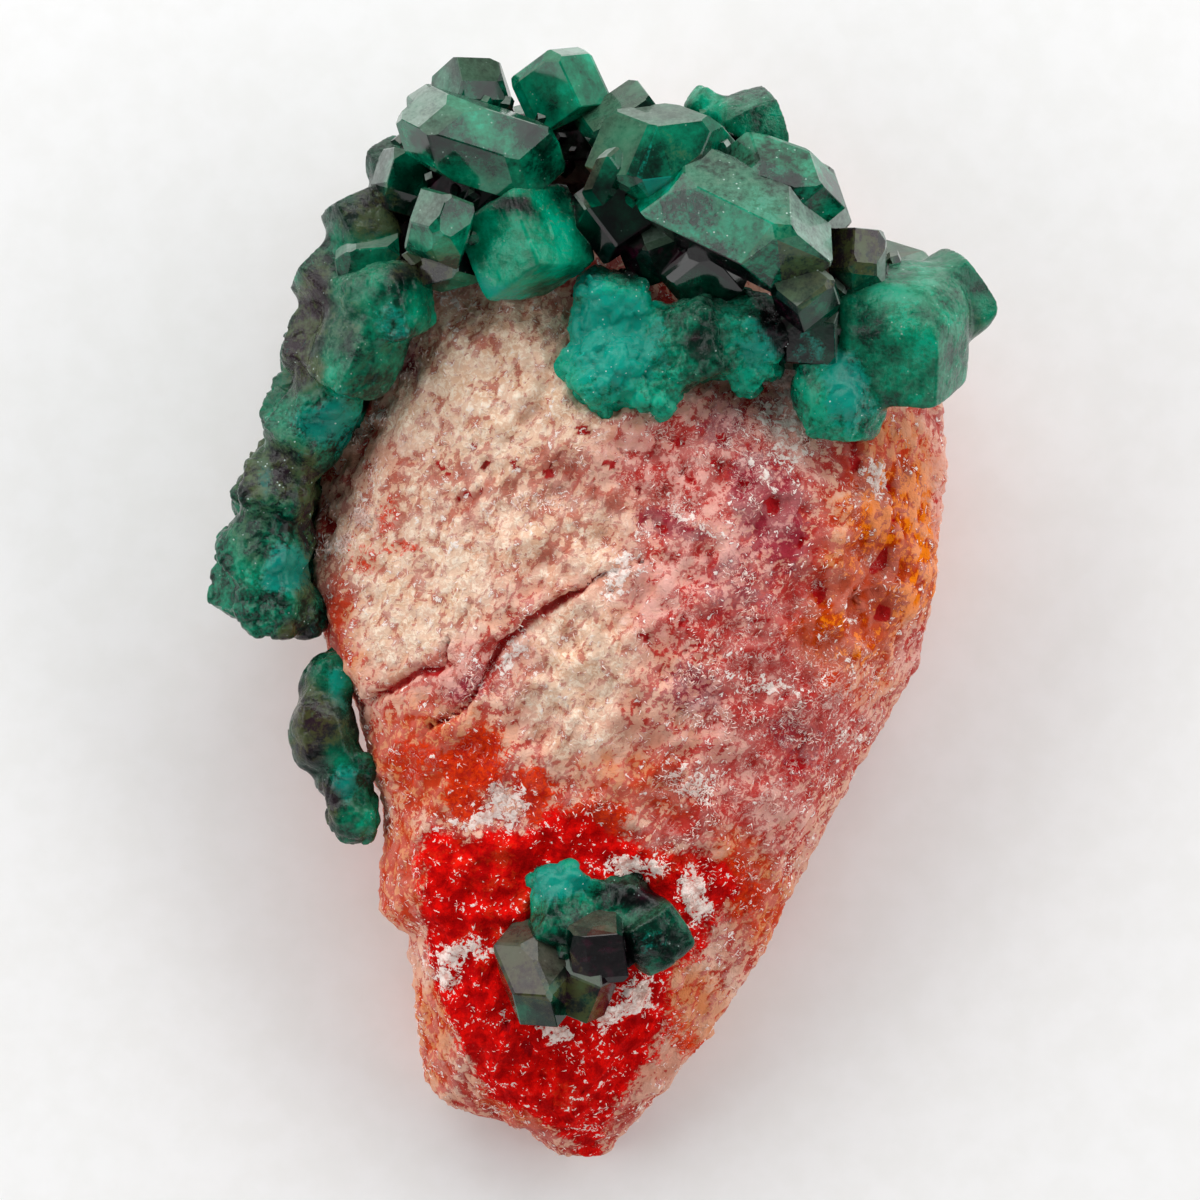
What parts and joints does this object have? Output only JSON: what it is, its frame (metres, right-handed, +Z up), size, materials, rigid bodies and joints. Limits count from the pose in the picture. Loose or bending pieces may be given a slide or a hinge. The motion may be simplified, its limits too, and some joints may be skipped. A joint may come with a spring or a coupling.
{
  "type": "dioptase crystals on matrix",
  "caption": "Wedge of red-stained rock lying on its back, its wide end and left flank crusted with dark emerald crystals and a small cluster low on its face.",
  "frame": {"origin": "middle of the footprint, on the plane that the rock's back rests on", "axes": "+Z up, out of the rock's face; +Y towards the wide end that the crystals crown; +X to the right of the face"},
  "size_m": [0.0566, 0.0794, 0.0306],
  "materials": {
    "matrix": "rough, granular, frosted with fine pale grains",
    "dioptase": "glossy natural crystal faces",
    "broken_dioptase": "broken, cloudy crystal with glossy patches"
  },
  "bodies": {
    "root": {"matrix": "matrix", "crown_crystals": "dioptase", "broken_crystals": "broken_dioptase", "shoulder_crystals": "dioptase", "lower_left_crystals": "dioptase", "front_crystals": "dioptase"}
  },
  "joints": []
}
